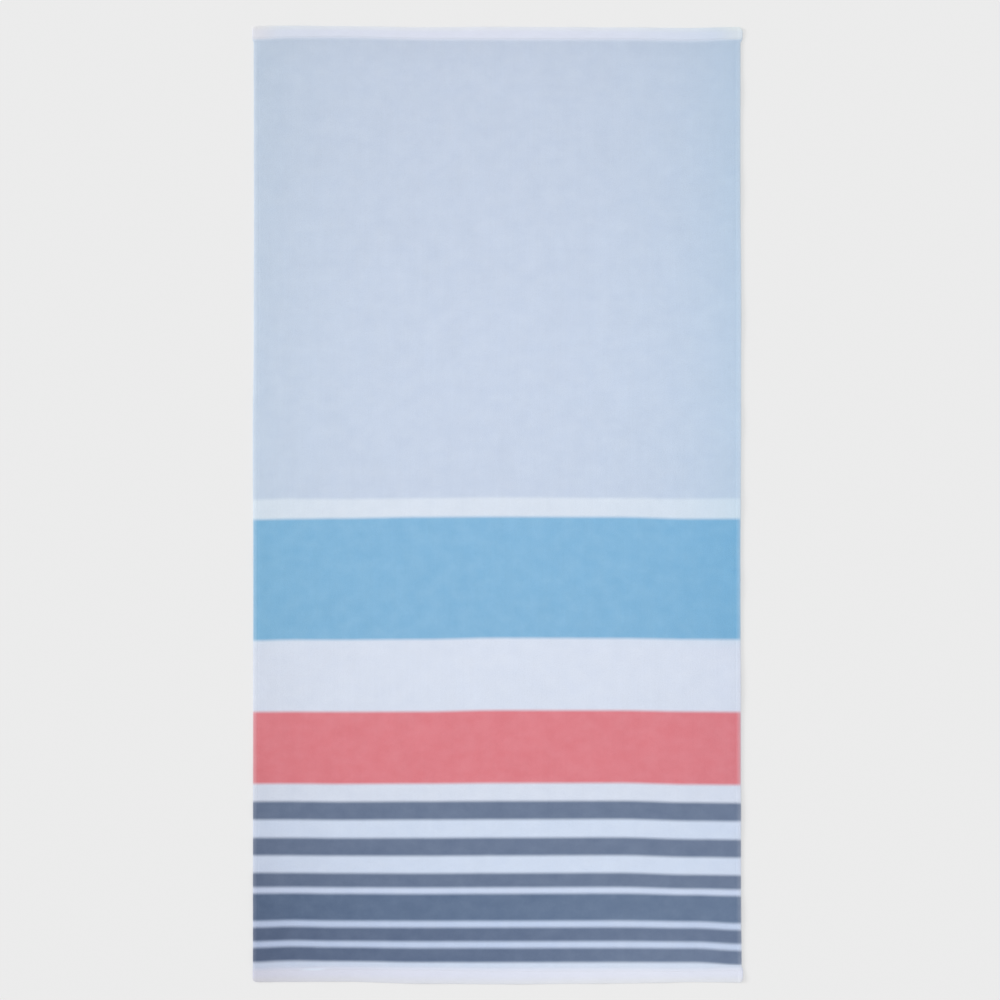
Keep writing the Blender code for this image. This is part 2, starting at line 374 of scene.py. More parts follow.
def make_sheet():
    """The cloth's vertices, its faces with a finish for each, and u and v at every vertex."""
    wide, long = len(COLUMNS), len(ROWS)
    points, cloth_places, face_grid, under_grid = [], [], [], []
    for j, v in enumerate(ROWS):
        face_grid.append([])
        under_grid.append([])
        for i, u in enumerate(COLUMNS):
            x, y = outline_point(u, v)
            low, high = cloth_heights(u, v)
            face_grid[j].append(len(points))
            points.append((x - MIDDLE_X, y - MIDDLE_Y, high))
            cloth_places.append((u, v))
            if 0 < i < wide - 1 and 0 < j < long - 1:
                points.append((x - MIDDLE_X, y - MIDDLE_Y, low))
                cloth_places.append((u, v))
            under_grid[j].append(len(points) - 1)
    faces, finishes = [], []
    for j in range(long - 1):
        for i in range(wide - 1):
            from_side, from_end, _, end = insets(
                (COLUMNS[i] + COLUMNS[i + 1]) / 2, (ROWS[j] + ROWS[j + 1]) / 2)
            upper = under = FLAT_WOVEN
            if from_end >= HEADING[end]:
                upper, under = PRINTED_PILE, PRINTED_PILE if from_side < SIDE_TURN else LOOPS
            corners = [(j, i), (j, i + 1), (j + 1, i + 1), (j + 1, i)]
            faces.append([face_grid[row][column] for row, column in corners])
            faces.append([under_grid[row][column] for row, column in reversed(corners)])
            finishes += [upper, under]
    return points, faces, finishes, cloth_places


points, faces, face_finishes, cloth_places = make_sheet()
sheet = bpy.data.meshes.new("towel_cloth")
sheet.from_pydata(points, [], faces)
sheet.polygons.foreach_set("material_index", face_finishes)
sheet.shade_smooth()
towel = show("towel_cloth", sheet)
print(f"Cloth: {len(points)} vertices, {2 * len(faces)} triangles")

# %% [markdown]
# ## Cloth coordinates as a UV map
#
# This UV map simply holds `u` and `v` in metres, so a pattern is drawn at its true size and follows
# every bow of the cloth. A second map lays the face and the underside side by side without overlap, with
# most of the room for the face, for a renderer that bakes pictures.

# %% Two UV maps
FACE_SHARE, MAP_MARGIN = 0.84, 0.006


def write_map(mesh, name, place):
    """Make a UV map from a function of a face's number and a vertex's number."""
    layer = mesh.uv_layers.new(name=name, do_init=False)
    flat = []
    for polygon in mesh.polygons:
        for vertex in polygon.vertices:
            flat.extend(place(polygon.index, vertex))
    layer.uv.foreach_set("vector", flat)


def baking_place(face, vertex):
    """Even faces are the upper side and odd ones the underside, as make_sheet adds them."""
    u, v = cloth_places[vertex]
    start, room = (0.0, FACE_SHARE) if face % 2 == 0 else (FACE_SHARE, 1.0 - FACE_SHARE)
    across = MAP_MARGIN + (1.0 - 2.0 * MAP_MARGIN) * u / WIDTH
    return start + room * across, MAP_MARGIN + (1.0 - 2.0 * MAP_MARGIN) * v / LENGTH


write_map(sheet, "cloth", lambda face, vertex: cloth_places[vertex])
write_map(sheet, "OFBake", baking_place)
print("UV maps:", [layer.name for layer in sheet.uv_layers])

# %% [markdown]
# ## Painted shade and light on the cloth
#
# Sheared pile changes with the way it leans: where one looks down between the fibres, the colour turns
# darker and richer. Here shade and light are painted into the colour: the cloth is palest low in the
# blue field, cooler and darker towards both sides and the top, and darkest and richest in the bottom
# left corner. The folds get painted light and shade, the end folds are paler, and a small pleat gets a
# painted highlight. Two attributes hold that: a shade colour that multiplies the dye, and a depth that
# deepens it.

# %% Painted shade and light at every vertex
SIDE_LOSS = {  # painted shade towards the sides: share of red, green and blue lost at a fold
    ("left", "upper"): (0.088, 0.055, 0.068),
    ("right", "upper"): (0.160, 0.070, 0.045),
    ("left", "lower"): (0.080, 0.085, 0.090),
    ("right", "lower"): (0.065, 0.060, 0.045),
}
SIDE_REACH = 0.15  # how far in from a fold the loss has mostly gone
SIDE_DEPTH = 0.030  # painted shade: the dye's extra depth towards the side folds of the upper part
UPPER_FROM, UPPER_EASE = 0.64, 0.03  # height up the cloth at which, and over which, they take over
HEM_PAINTED_LIGHT = {  # painted light on a side hem, and how wide it is; painted light on its fold, painted shade below 0
    "left": (0.06, 0.0135, -0.14),
    "right": (-0.01, 0.0100, 0.28),
}
END_FOLD_PAINTED_LIGHT = {"top": 0.04, "bottom": 0.24}  # painted light on the end folds, against their own shade
PAINTED_LIGHT_EASE = 0.009  # width over which a hem's painted light fades
TOP_CORNER_TINT = {"left": (0.085, 0.015, -0.035), "right": (0.125, 0.070, -0.020)}  # redder and less blue at both ends of the top heading
TOP_CORNER_REACH = 0.060  # how far in from the sides the top heading's ends are tinted
PLEAT = (0.114, 0.0232)  # a painted highlight by the bottom hem, as on a small pleat: u and v of its middle
# size of the painted highlight, and its strength in red, green and blue
PLEAT_SIZE, PLEAT_HIGHLIGHT = (0.036, 0.0036), (0.06, 0.14, 0.13)
FIELD_RISE, FIELD_RISE_AT, FIELD_RISE_REACH = 0.072, 1.10, 0.75  # painted light low in the blue field
# painted shade towards the top end
TOP_LOSS, TOP_REACH = 0.035, 0.10
CORNER_LOSS = (0.09, 0.12, 0.12)  # painted shade: share lost in the bottom left corner
CORNER_DEPTH, CORNER_REACH = 0.13, 0.20  # painted shade: the dye's extra depth there, and how far it reaches across
CORNER_HEIGHT = 0.55  # height up the cloth by which that has faded
RIGHT_DEPTH, RIGHT_HEIGHT = -0.16, 0.12  # painted light: the paler bottom right corner
RIGHT_FROM, RIGHT_EASE = 0.45, 0.40  # share of the width at which, and over which, it begins
FOLD_PAINTED_SHADING = {"top": (1.06, 1.05, 0.98), "bottom": (0.99, 0.98, 0.91)}  # painted shading of the round end folds: lighter at the top, darker and less blue at the bottom
FOLD_PAINTED_SHADING_REACH = {"top": 0.011, "bottom": 0.016}
HEADING_EASE = 0.004  # length over which the tint at the top heading's ends begins


def painted_shading_at(u, v):
    """Painted shade and light at a point of the cloth: a factor for red, green and blue, and a depth."""
    from_side, from_end, side, end = insets(u, v)
    hem_light, hem_width, fold_light = HEM_PAINTED_LIGHT[side]
    # painted light and shade on the side hems and the folds
    painted_light = 1.0 + hem_light * smooth_step((hem_width - from_side) / PAINTED_LIGHT_EASE)
    painted_light += fold_light * (1.0 - fold_roundness(from_side))
    painted_light += END_FOLD_PAINTED_LIGHT[end] * (1.0 - fold_roundness(from_end))
    # the painted highlight by the bottom hem
    off_pleat = math.hypot((u - PLEAT[0]) / PLEAT_SIZE[0], (v - PLEAT[1]) / PLEAT_SIZE[1])
    on_pleat = smooth_step(1.0 - off_pleat)
    # painted shade and light across the field
    upper = smooth_step((v - UPPER_FROM) / UPPER_EASE + 0.5)
    left, right = math.exp(-u / SIDE_REACH), math.exp(-(WIDTH - u) / SIDE_REACH)
    bottom_left = smooth_step(1.0 - v / CORNER_HEIGHT) * math.exp(-u / CORNER_REACH)
    bottom_right = math.exp(-v / RIGHT_HEIGHT) * smooth_step((u / WIDTH - RIGHT_FROM) / RIGHT_EASE)
    rise = FIELD_RISE * smooth_step(1.0 - abs(v - FIELD_RISE_AT) / FIELD_RISE_REACH)
    top = TOP_LOSS * smooth_step(1.0 - (LENGTH - v) / TOP_REACH)
    at_fold = smooth_step(1.0 - from_end / FOLD_PAINTED_SHADING_REACH[end])
    on_heading = smooth_step((HEADING["top"] - (LENGTH - v)) / HEADING_EASE + 0.5)
    in_top_corner = on_heading * smooth_step(1.0 - from_side / TOP_CORNER_REACH)
    shade_colour = []
    for channel in range(3):
        loss = 0.0
        for name, nearness in (("left", left), ("right", right)):
            high, deep = SIDE_LOSS[name, "upper"][channel], SIDE_LOSS[name, "lower"][channel]
            loss += nearness * (deep + (high - deep) * upper)
        shade = (1.0 + rise) * (1.0 - top) * (1.0 - CORNER_LOSS[channel] * bottom_left) * (1.0 - loss)
        shade *= 1.0 + TOP_CORNER_TINT[side][channel] * in_top_corner
        shade *= painted_light + PLEAT_HIGHLIGHT[channel] * on_pleat
        # painted shading of the end folds
        shade_colour.append(shade * (1.0 + (FOLD_PAINTED_SHADING[end][channel] - 1.0) * at_fold))
    depth = 1.0 + CORNER_DEPTH * bottom_left + RIGHT_DEPTH * bottom_right
    return (*shade_colour, 1.0), depth + SIDE_DEPTH * upper * (left + right)


# painted shade and light at every vertex, kept as two attributes
painted_shading = [painted_shading_at(u, v) for u, v in cloth_places]
shade_colours = sheet.attributes.new("painted_shade_colour", "FLOAT_COLOR", "POINT")
shade_colours.data.foreach_set("color", [part for shade_colour, _ in painted_shading for part in shade_colour])
shade_depths = sheet.attributes.new("painted_shade_depth", "FLOAT", "POINT")
shade_depths.data.foreach_set("value", [depth for _, depth in painted_shading])
print("Nap depth from", round(min(d for _, d in painted_shading), 3), "to", round(max(d for _, d in painted_shading), 3))

# %% [markdown]
# ## Helpers for node trees
#
# Shader and geometry trees are both built in the script. `put` adds a node, which is a shader node
# unless its kind says otherwise. It sets the node's options and fills its inputs by name or number: a
# socket is linked, and anything else becomes the input's own value. `get` does the same and hands back
# the first output.

# %% Node helpers
def put(tree, kind, inputs=None, **options):
    """Add a node to a tree and fill its inputs."""
    node = tree.nodes.new(kind if "Node" in kind else "ShaderNode" + kind)
    for option, value in options.items():
        setattr(node, option, value)
    for name, value in (inputs or {}).items():
        if isinstance(value, bpy.types.NodeSocket):
            tree.links.new(value, node.inputs[name])
        else:
            node.inputs[name].default_value = value
    return node


def get(tree, kind, inputs=None, **options):
    """A new node's first output."""
    return put(tree, kind, inputs, **options).outputs[0]


def math_of(tree, operation, first, second=0.0, third=0.0):
    """A Math node's result."""
    return get(tree, "Math", {0: first, 1: second, 2: third}, operation=operation)


def times(tree, first, second):
    """A product."""
    return math_of(tree, "MULTIPLY", first, second)


def ramp_of(tree, value, start, stop, low=0.0, high=1.0):
    """Smooth ease from low to high while value goes from start to stop."""
    inputs = {"Value": value, "From Min": start, "From Max": stop, "To Min": low, "To Max": high}
    return get(tree, "MapRange", inputs, interpolation_type="SMOOTHSTEP")


def mix_of(tree, factor, first, second, blend="MIX"):
    """A colour mix's result."""
    inputs = {0: factor, 6: first, 7: second}
    return put(tree, "Mix", inputs, data_type="RGBA", blend_type=blend).outputs[2]


def new_group(kind, name, inputs, outputs):
    """An empty node group with named sockets. An input is given by its type or by its value."""
    tree = bpy.data.node_groups.new(name, kind)
    for socket, value in inputs.items():
        of_type = value if isinstance(value, str) else "Int" if isinstance(value, int) else "Float"
        made = tree.interface.new_socket(
            name=socket, in_out="INPUT", socket_type="NodeSocket" + of_type)
        if value != of_type:
            made.default_value = value
    for socket, of_type in outputs.items():
        tree.interface.new_socket(name=socket, in_out="OUTPUT", socket_type="NodeSocket" + of_type)
    print(f"Group {name}: {', '.join(inputs)} -> {', '.join(outputs)}")
    return tree, tree.nodes.new("NodeGroupInput").outputs, tree.nodes.new("NodeGroupOutput").inputs


# %% [markdown]
# ## Uneven dye and wear
#
# No dyed cloth is one flat colour. The dye leaves soft patches, and the warp yarns leave faint streaks
# along the length. One group makes both: a noise at a given patch size, stretched along the cloth, that
# swings a shade a little to either side of 1.

# %% Group: uneven shade
NOISE_GAIN = 4.0  # most of a noise lies from 0.25 to 0.75; this spreads it over -1 to 1

uneven, given, result = new_group(
    "ShaderNodeTree", "Uneven shade",
    {"Place": "Vector", "Patch": 0.04, "Stretch": 1.0, "Amount": 0.02}, {"Shade": "Float"})
place = put(uneven, "SeparateXYZ", {0: given["Place"]}).outputs
patch_length = times(uneven, given["Patch"], given["Stretch"])
patches = get(uneven, "CombineXYZ", {
    "X": math_of(uneven, "DIVIDE", place["X"], given["Patch"]),
    "Y": math_of(uneven, "DIVIDE", place["Y"], patch_length),
    "Z": math_of(uneven, "DIVIDE", place["Z"], given["Patch"])})
cloud = get(uneven, "TexNoise", {
    "Vector": patches, "Scale": 1.0, "Detail": 3.0, "Roughness": 0.55})
swing = math_of(uneven, "MULTIPLY_ADD", cloud, NOISE_GAIN, -NOISE_GAIN / 2)
swing = times(uneven, swing, given["Amount"])
uneven.links.new(math_of(uneven, "ADD", swing, 1.0), result["Shade"])

# %% [markdown]
# ## Sheared pile
#
# Towel pile stands in rows of tufts about a millimetre apart. The mill shears the loops open on the
# face, so each tuft is a small blunt brush. The cells of a cell texture make good tufts: high in the
# middle, with a pit where they meet. A noise lets the cells stray, and a finer one adds the cut fibres.
# The group gives that height, and a mask of the pits, which the materials darken as painted shade.

# %% Group: sheared pile
TUFT_REACH, TUFT_TOP = 0.85, 0.75  # where a tuft's flank ends, and how high its middle stands
FIBRE_SHARE = 0.8  # height of the cut fibres on top of that
PIT_STARTS, PIT_FULL = 0.38, 0.75  # distances from a tuft's middle at which the pits lie

sheared, given, result = new_group(
    "ShaderNodeTree", "Sheared pile",
    {"Place": "Vector", "Row Pitch": 0.0011, "Tuft Pitch": 0.0015, "Stray": 1.1},
    {"Height": "Float", "Pits": "Float"})
place = put(sheared, "SeparateXYZ", {0: given["Place"]}).outputs
tuft_grid = get(sheared, "CombineXYZ", {
    "X": math_of(sheared, "DIVIDE", place["X"], given["Row Pitch"]),
    "Y": math_of(sheared, "DIVIDE", place["Y"], given["Tuft Pitch"])})
ragged = put(sheared, "TexNoise", {
    "Vector": tuft_grid, "Scale": 1.9, "Detail": 3.0, "Roughness": 0.6}, noise_dimensions="2D")
stray = get(sheared, "CombineXYZ", {"X": given["Stray"], "Y": given["Stray"]})
strayed = get(sheared, "VectorMath", {
    0: ragged.outputs["Color"], 1: stray, 2: tuft_grid}, operation="MULTIPLY_ADD")
from_tuft = get(sheared, "TexVoronoi", {
    "Vector": strayed, "Scale": 1.0, "Randomness": 0.8}, voronoi_dimensions="2D")
fibres = get(sheared, "TexNoise", {
    "Vector": tuft_grid, "Scale": 4.3, "Detail": 3.0, "Roughness": 0.65}, noise_dimensions="2D")
brush = ramp_of(sheared, from_tuft, 0.0, TUFT_REACH, TUFT_TOP, 0.0)
sheared.links.new(math_of(sheared, "MULTIPLY_ADD", fibres, FIBRE_SHARE, brush), result["Height"])
sheared.links.new(ramp_of(sheared, from_tuft, PIT_STARTS, PIT_FULL), result["Pits"])

# %% [markdown]
# ## Flat weave
#
# The headings are plain weave: each thread goes over one and under the next. Two sine waves give the
# threads, and the sign of their product says which is on top.

# %% Group: flat weave
LENGTHWISE = 0.4  # power that flattens a thread's curve along its length
GAP_DEEP, GAP_ENDS = 0.05, 0.45  # heights at which a gap between threads is full and gone

woven, given, result = new_group(
    "ShaderNodeTree", "Flat weave",
    {"Place": "Vector", "Warp Pitch": 0.00062, "Weft Pitch": 0.00055},
    {"Height": "Float", "Gaps": "Float"})
place = put(woven, "SeparateXYZ", {0: given["Place"]}).outputs
waves = []
for axis, pitch in (("X", "Warp Pitch"), ("Y", "Weft Pitch")):
    turns = times(woven, math_of(woven, "DIVIDE", place[axis], given[pitch]), math.pi)
    waves.append(math_of(woven, "SINE", turns))
warp_on_top = math_of(woven, "GREATER_THAN", times(woven, *waves), 0.0)
warp, weft = [math_of(woven, "ABSOLUTE", wave) for wave in waves]
warp_thread = times(woven, warp, math_of(woven, "POWER", weft, LENGTHWISE))
weft_thread = times(woven, weft, math_of(woven, "POWER", warp, LENGTHWISE))
threads = get(woven, "Mix", {0: warp_on_top, 2: weft_thread, 3: warp_thread})
woven.links.new(threads, result["Height"])
woven.links.new(ramp_of(woven, threads, GAP_DEEP, GAP_ENDS, 1.0, 0.0), result["Gaps"])

# %% [markdown]
# ## Dimples under the stitches
#
# A taut thread pulls the cloth down along its row, and most of all at the needle holes. The groove is in
# the mesh already. This group adds the dimples: a narrow bell across the row, times a wave along it.

# %% Group: stitch dimples
STITCH = 0.0032  # length of one stitch
DIMPLE_MEAN, DIMPLE_SWING = 0.6, -0.4  # depth along a row: its mean, and its swing over a stitch

dimpled, given, result = new_group(
    "ShaderNodeTree", "Stitch dimples",
    {"Off Row": 0.0, "Along Row": 0.0, "Stitch": STITCH, "Reach": 0.0010}, {"Depth": "Float"})
away = math_of(dimpled, "ABSOLUTE", math_of(dimpled, "DIVIDE", given["Off Row"], given["Reach"]))
away = times(dimpled, math_of(dimpled, "POWER", away, 2.0), -1.0)
bell = math_of(dimpled, "EXPONENT", away)
along = math_of(dimpled, "DIVIDE", given["Along Row"], given["Stitch"])
wave = math_of(dimpled, "COSINE", times(dimpled, along, 2.0 * math.pi))
holes = math_of(dimpled, "MULTIPLY_ADD", wave, DIMPLE_SWING, DIMPLE_MEAN)
dimpled.links.new(times(dimpled, bell, holes), result["Depth"])

# %% [markdown]
# ## The print
#
# A colour ramp holds only a few hundred steps, so over 1.8 m its edges would jump by several
# millimetres. The group asks at each seam instead whether the point lies above it, and mixes in the next
# dye. Ink creeps along the fibres, so a seam is a few millimetres wide, and wider at the headings, where
# the pile thins out.

# %% Group: striped print
CREEP = 0.0045  # half the width over which two dyes run together
THINNING = 0.0060  # the same at the edges of the headings

printed, given, result = new_group(
    "ShaderNodeTree", "Striped print",
    {"Height": 0.0, "Creep": CREEP, "Thinning": THINNING}, {"Dye": "Color"})
stripes = list(reversed(BANDS))
seam = 0.0
dye = (*DYES["heading"], 1.0)
for (below, depth), (above, _) in zip(stripes, stripes[1:]):
    seam += depth
    ease = given["Thinning"] if "heading" in (below, above) else given["Creep"]
    past = math_of(printed, "DIVIDE", math_of(printed, "SUBTRACT", given["Height"], seam), ease)
    dye = mix_of(printed, ramp_of(printed, past, -1.0, 1.0), dye, (*DYES[above], 1.0))
printed.links.new(dye, result["Dye"])
print(f"Print: {len(stripes) - 2} stripes, the last one ends {LENGTH - seam:.4f} m below the top fold")

# %% [markdown]
# ## What the cloths share
#
# Every cloth here is matt fibre with a faint sheen at low angles. Its colour is a dye times a few shades,
# none of them strong alone, some of them painted shade in pits and grooves, and its bump is a relief in
# metres. On the face and the headings the dye is also deepened and tinted by painted shade and light.

# %% Material helpers
FIBRE_SPECULAR = 0.15


def new_cloth(name, roughness, sheen, sheen_roughness):
    """A matt fibre material and its tree."""
    material = bpy.data.materials.new(name)
    material.use_nodes = True
    shader = material.node_tree.nodes["Principled BSDF"]
    shader.inputs["Roughness"].default_value = roughness
    shader.inputs["Specular IOR Level"].default_value = FIBRE_SPECULAR
    shader.inputs["Sheen Weight"].default_value = sheen
    shader.inputs["Sheen Roughness"].default_value = sheen_roughness
    return material, material.node_tree


def cloth_map(tree):
    """The cloth coordinates, whole and split."""
    whole = get(tree, "UVMap", uv_map="cloth")
    split = put(tree, "SeparateXYZ", {0: whole}).outputs
    return whole, split["X"], split["Y"]


def uneven_shade(tree, place, patch, stretch, amount):
    """The shade of one kind of unevenness."""
    inputs = {"Place": place, "Patch": patch, "Stretch": stretch, "Amount": amount}
    return get(tree, "Group", inputs, node_tree=uneven)


def with_painted_shade(tree, dye, brushed=1.0):
    """A dye deepened by the painted shade's depth, times the brushed patches, and multiplied by its
    painted shade colour.
    """
    depth = put(tree, "Attribute", attribute_name="painted_shade_depth").outputs["Fac"]
    depth = times(tree, depth, brushed)
    deepened = get(tree, "Gamma", {"Color": dye, "Gamma": depth})
    shade_colour = put(tree, "Attribute", attribute_name="painted_shade_colour").outputs["Color"]
    return mix_of(tree, 1.0, deepened, shade_colour, "MULTIPLY")


def dimples_along(tree, crossing, total, row, along):
    """Depth of the dimples along the rows of stitches of two opposite hems."""
    inset = math_of(tree, "MINIMUM", crossing, math_of(tree, "SUBTRACT", total, crossing))
    inputs = {"Off Row": math_of(tree, "SUBTRACT", inset, row), "Along Row": along}
    return get(tree, "Group", inputs, node_tree=dimpled)


def relief_of(tree, height, size, dimple, depth):
    """Relief of a cloth less its dimples, in metres."""
    raised = times(tree, height, size)
    return math_of(tree, "SUBTRACT", raised, times(tree, dimple, depth))


def finish_cloth(material, dye, shades, relief):
    """Multiply the dye by the shades, and bump the shader by the relief."""
    tree = material.node_tree
    shader = tree.nodes["Principled BSDF"]
    shade = shades[0]
    for other in shades[1:]:
        shade = times(tree, shade, other)
    grey = get(tree, "CombineColor", {0: shade, 1: shade, 2: shade})
    tree.links.new(mix_of(tree, 1.0, dye, grey, "MULTIPLY"), shader.inputs["Base Color"])
    bump = get(tree, "Bump", {"Strength": 1.0, "Distance": 1.0, "Height": relief})
    tree.links.new(bump, shader.inputs["Normal"])
    print(f"Material {material.name}: {len(tree.nodes)} nodes")


# %% [markdown]
# ## Printed pile
#
# The dye is thinner on the side folds, so the white yarn shows through there, though less through the
# dark dyes, which cover better. On the outermost millimetres of the folds the same mix is painted light
# against the fold's shade. Hands leave brushed patches a few centimetres wide, which show most on dark
# dyes, so they vary the depth of the painted shade.

# %% Material: printed pile
TUFT_HEIGHT = 0.00030
PILE_DIMPLE = 0.00012  # how deep the stitches dimple the pile
BARE_YARN = (0.76, 0.79, 0.86, 1.0)  # undyed cotton
PALE_AND_LIT_FOLDS = {  # insets from and to which the yarn shows, its share at the fold; the outer rows are painted light
    "left": [(0.0, 0.0100, 0.20), (0.0002, 0.0016, 0.50)],
    "right": [(0.0, 0.0105, 0.26), (0.0002, 0.0022, 0.80)],
}
DARK_DYE, PALE_DYE = 0.30, 0.70  # brightness of a dye that covers well and of one that doesn't
DARK_SHARE = 0.5  # how much of that yarn shows through a dark dye
FIBRE_SCALE = 700.0  # fineness of the fibres along which the ink creeps
FIBRE_CREEP = 0.0018  # how far they carry it in all

pile, tree = new_cloth("printed pile", roughness=0.95, sheen=0.12, sheen_roughness=0.5)
place, across, up = cloth_map(tree)
creep = get(tree, "TexNoise", {"Vector": place, "Scale": FIBRE_SCALE, "Detail": 2.0})
creep = times(tree, math_of(tree, "SUBTRACT", creep, 0.5), FIBRE_CREEP)
dye = get(tree, "Group", {"Height": math_of(tree, "ADD", up, creep)}, node_tree=printed)

# thinner dye on the folds, and painted light on their outer curve
bare_and_lit = 0.0
for side, inset in (("left", across), ("right", math_of(tree, "SUBTRACT", WIDTH, across))):
    for start, stop, share in PALE_AND_LIT_FOLDS[side]:
        bare_and_lit = math_of(tree, "MAXIMUM", bare_and_lit, ramp_of(tree, inset, start, stop, share, 0.0))
brightness = put(tree, "SeparateColor", {0: dye}, mode="HSV").outputs[2]
uncovered = ramp_of(tree, brightness, DARK_DYE, PALE_DYE, DARK_SHARE, 1.0)
dye = mix_of(tree, times(tree, bare_and_lit, uncovered), dye, BARE_YARN)
dye = with_painted_shade(tree, dye, uneven_shade(tree, place, patch=0.032, stretch=0.8, amount=0.055))

tufts = put(tree, "Group", {"Place": place}, node_tree=sheared).outputs
shades = [
    uneven_shade(tree, place, patch=0.045, stretch=1.6, amount=0.016),
    uneven_shade(tree, place, patch=0.0035, stretch=60.0, amount=0.011),
    # painted shade in the pits between the tufts; the rest is dyed lighter to make up for it
    ramp_of(tree, tufts["Pits"], 0.0, 1.0, low=1.07, high=0.97),
]
dimple = dimples_along(tree, across, WIDTH, SIDE_ROW, up)
finish_cloth(pile, dye, shades, relief_of(tree, tufts["Height"], TUFT_HEIGHT, dimple, PILE_DIMPLE))

# %% [markdown]
# ## Flat-woven heading
#
# The heading has no pile, only bleached cotton in plain weave, a touch warmer than the printed white.
# The print fades out over it, so it shares the print group, and it has its own rows of dimples.

# %% Material: flat-woven heading
WEAVE_HEIGHT = 0.00010
HEM_DIMPLE = 0.00025  # how deep the stitches dimple the heading

heading, tree = new_cloth("flat-woven heading", roughness=0.88, sheen=0.06, sheen_roughness=0.5)
place, across, up = cloth_map(tree)
dye = with_painted_shade(tree, get(tree, "Group", {"Height": up}, node_tree=printed))
weave = put(tree, "Group", {"Place": place}, node_tree=woven).outputs
shades = [
    uneven_shade(tree, place, patch=0.030, stretch=0.5, amount=0.015),
    uneven_shade(tree, place, patch=0.020, stretch=0.03, amount=0.020),
    # painted shade in the gaps between the threads; the rest is dyed lighter to make up for it
    ramp_of(tree, weave["Gaps"], 0.0, 1.0, low=1.07, high=0.97),
]
dimple = dimples_along(tree, up, LENGTH, END_ROW, across)
finish_cloth(heading, dye, shades, relief_of(tree, weave["Height"], WEAVE_HEIGHT, dimple, HEM_DIMPLE))

# %% [markdown]
# ## Terry loops
#
# The underside keeps its loops uncut and unprinted: bigger, rounder lumps, in undyed white.

# %% Material: terry loops
LOOP_HEIGHT = 0.0007

terry, tree = new_cloth("terry loops", roughness=0.97, sheen=0.15, sheen_roughness=0.6)
place, _, _ = cloth_map(tree)
loops = put(tree, "Group", {
    "Place": place, "Row Pitch": 0.0016, "Tuft Pitch": 0.0018, "Stray": 0.45}, node_tree=sheared).outputs
shades = [
    uneven_shade(tree, place, patch=0.035, stretch=1.3, amount=0.020),
    # painted shade between the loops
    ramp_of(tree, loops["Pits"], 0.0, 1.0, low=1.05, high=0.91),
]
finish_cloth(terry, BARE_YARN, shades, times(tree, loops["Height"], LOOP_HEIGHT))

for material in (pile, heading, terry):
    sheet.materials.append(material)

# %% [markdown]
# ## Sewing thread
#
# Thread is spun fibre too, but twisted tight, so it is smoother than the cloth and shows fine slanting
# ridges. A diagonal wave on object coordinates gives those ridges, as bump and as painted shade in their
# grooves, whichever way a row runs.

# %% Material: sewing thread
THREAD_WHITE = (0.78, 0.80, 0.86, 1.0)
TWIST_HEIGHT = 0.00006  # height of the ridges

thread, tree = new_cloth("sewing thread", roughness=0.60, sheen=0.05, sheen_roughness=0.4)
place = put(tree, "TexCoord").outputs["Object"]
twist = put(tree, "TexWave", {"Vector": place, "Scale": 900.0, "Distortion": 0.6},
            wave_type="BANDS", bands_direction="DIAGONAL").outputs["Fac"]
shades = [
    uneven_shade(tree, place, patch=0.012, stretch=1.0, amount=0.03),
    # painted shade in the grooves of the twist
    ramp_of(tree, twist, 0.0, 1.0, low=0.90, high=1.02),
]
finish_cloth(thread, THREAD_WHITE, shades, times(tree, twist, TWIST_HEIGHT))

# %% [markdown]
# ## A row of lockstitches
#
# A lockstitch shows as a row of short, arched lengths of thread that dip into the cloth at both ends.
# Geometry Nodes make one stitch from a bent line and a round profile, place it along a path at every
# stitch length, turn each copy along the path, and realise the copies as one mesh. On the underside the
# stitch is rolled over to arch downwards.

# %% Geometry Nodes: lockstitch row
THREAD = 0.00045  # thickness of the thread
STITCHING = {
    "Stitch": STITCH, "Thread": THREAD,
    "Dip": 0.00032,  # how far a stitch dips into the cloth at its ends
    "Wobble": 0.05,  # the most that a stitch is askew, in radians
    "Seed": 4,
}
HALF_SEEN = 0.47  # half of a stitch, up to its hole, as a share of the stitch length
END_TAPER = 0.35  # how much thinner the thread is at its ends, as a share

rows, given, result = new_group(
    "GeometryNodeTree", "Lockstitch row",
    {"Path": "Geometry", **STITCHING, "Finish": "Material"}, {"Stitches": "Geometry"})
rows.is_modifier = True

half = times(rows, given["Stitch"], HALF_SEEN)
line = get(rows, "GeometryNodeCurvePrimitiveLine", {
    "Start": get(rows, "CombineXYZ", {"X": times(rows, half, -1.0)}),
    "End": get(rows, "CombineXYZ", {"X": half})})
line = get(rows, "GeometryNodeResampleCurve", {"Curve": line, "Count": 6})
along = get(rows, "SeparateXYZ", {0: get(rows, "GeometryNodeInputPosition")})
share = math_of(rows, "ABSOLUTE", math_of(rows, "DIVIDE", along, half))
share = math_of(rows, "POWER", share, 2.0)
sunk = times(rows, times(rows, share, given["Dip"]), -1.0)
arched = get(rows, "GeometryNodeSetPosition", {
    "Geometry": line, "Offset": get(rows, "CombineXYZ", {"Z": sunk})})
profile = get(rows, "GeometryNodeCurvePrimitiveCircle", {
    "Resolution": 6, "Radius": times(rows, given["Thread"], 0.5)})
taper = math_of(rows, "MULTIPLY_ADD", share, -END_TAPER, 1.0)
stitch = get(rows, "GeometryNodeCurveToMesh", {
    "Curve": arched, "Profile Curve": profile, "Scale": taper, "Fill Caps": True})

